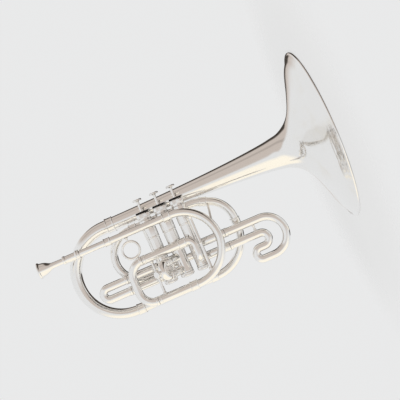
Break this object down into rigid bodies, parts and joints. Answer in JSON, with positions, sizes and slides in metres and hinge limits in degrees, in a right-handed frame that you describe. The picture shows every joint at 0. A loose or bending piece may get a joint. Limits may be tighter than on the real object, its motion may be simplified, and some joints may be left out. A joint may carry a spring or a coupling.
{
  "type": "mellophone",
  "caption": "Silver-plated marching mellophone with piston valves, moving slides and a wide flared bell, standing on its bell rim.",
  "frame": {"origin": "middle of the footprint's bounding box, on the plane of the bell's rim", "axes": "+Z from the bell's rim to the mouthpiece, along the bell's axis; +X towards the valve buttons; -Y towards the leadpipe"},
  "size_m": [0.276, 0.265, 0.465],
  "materials": {
    "silver_plate": "silver plated and polished",
    "steel": "satin",
    "felt": "felt"
  },
  "bodies": {
    "horn": {"bell": "silver_plate", "bell_bow": "silver_plate", "bell_ferrule": "silver_plate", "bottom_cap_1": "silver_plate", "bottom_cap_2": "silver_plate", "bottom_cap_3": "silver_plate", "bottom_ferrule": "silver_plate", "bottom_rear_ferrule": "silver_plate", "bottom_rear_tube": "silver_plate", "cap_felt_1": "felt", "cap_felt_2": "felt", "cap_felt_3": "felt", "down_pipe": "silver_plate", "finger_ring": "silver_plate", "first_slide_tubes": "silver_plate", "front_bow": "silver_plate", "front_bow_ferrule": "silver_plate", "leadpipe": "silver_plate", "leadpipe_ferrule": "silver_plate", "long_brace": "silver_plate", "loop_brace": "silver_plate", "rear_bow_lower": "silver_plate", "rear_bow_middle_ferrule": "silver_plate", "rear_bow_top_ferrule": "silver_plate", "rear_bow_upper": "silver_plate", "receiver": "silver_plate", "return_bow": "silver_plate", "return_ferrule": "silver_plate", "return_pipe": "silver_plate", "second_slide_tubes": "silver_plate", "third_slide_tubes": "silver_plate", "top_cap_1": "silver_plate", "top_cap_2": "silver_plate", "top_cap_3": "silver_plate", "tuning_lower_ferrule": "silver_plate", "tuning_tube_lower": "silver_plate", "tuning_tube_upper": "silver_plate", "tuning_upper_ferrule": "silver_plate", "valve_casing_1": "silver_plate", "valve_casing_2": "silver_plate", "valve_casing_3": "silver_plate", "valve_crossover_1": "silver_plate", "valve_crossover_2": "silver_plate", "valve_guide_1": "steel", "valve_guide_2": "steel", "valve_guide_3": "steel", "valve_spring_1": "steel", "valve_spring_2": "steel", "valve_spring_3": "steel"},
    "valve_1": {"valve_piston_1": "steel", "valve_stem_1": "silver_plate"},
    "valve_2": {"valve_piston_2": "steel", "valve_stem_2": "silver_plate"},
    "valve_3": {"valve_piston_3": "steel", "valve_stem_3": "silver_plate"},
    "first_slide": {"first_slide": "silver_plate"},
    "second_slide": {"second_slide": "silver_plate"},
    "third_slide": {"third_slide": "silver_plate"},
    "tuning_slide": {"tuning_slide": "silver_plate"},
    "mouthpiece": {"mouthpiece": "silver_plate"}
  },
  "joints": [
    {"name": "valve_press_1", "type": "slide", "parent": "horn", "child": "valve_1", "axis": [-1, 0, 0], "range_m": [0, 0.0164], "stiffness_N_per_m": 90, "springref_m": -0.012, "deforming": ["valve_spring_1"]},
    {"name": "valve_press_2", "type": "slide", "parent": "horn", "child": "valve_2", "axis": [-1, 0, 0], "range_m": [0, 0.0164], "stiffness_N_per_m": 90, "springref_m": -0.012, "deforming": ["valve_spring_2"]},
    {"name": "valve_press_3", "type": "slide", "parent": "horn", "child": "valve_3", "axis": [-1, 0, 0], "range_m": [0, 0.0164], "stiffness_N_per_m": 90, "springref_m": -0.012, "deforming": ["valve_spring_3"]},
    {"name": "first_slide_pull", "type": "slide", "parent": "horn", "child": "first_slide", "axis": [0, 0, 1], "range_m": [0, 0.036]},
    {"name": "second_slide_pull", "type": "slide", "parent": "horn", "child": "second_slide", "axis": [0, -0.809, 0.5878], "range_m": [0, 0.018]},
    {"name": "third_slide_pull", "type": "slide", "parent": "horn", "child": "third_slide", "axis": [0, 0, -1], "range_m": [0, 0.028]},
    {"name": "tuning_slide_pull", "type": "slide", "parent": "horn", "child": "tuning_slide", "axis": [0, 0, 1], "range_m": [0, 0.035]},
    {"name": "mouthpiece_pull", "type": "slide", "parent": "horn", "child": "mouthpiece", "axis": [0, 0, 1], "range_m": [0, 0.013]}
  ]
}
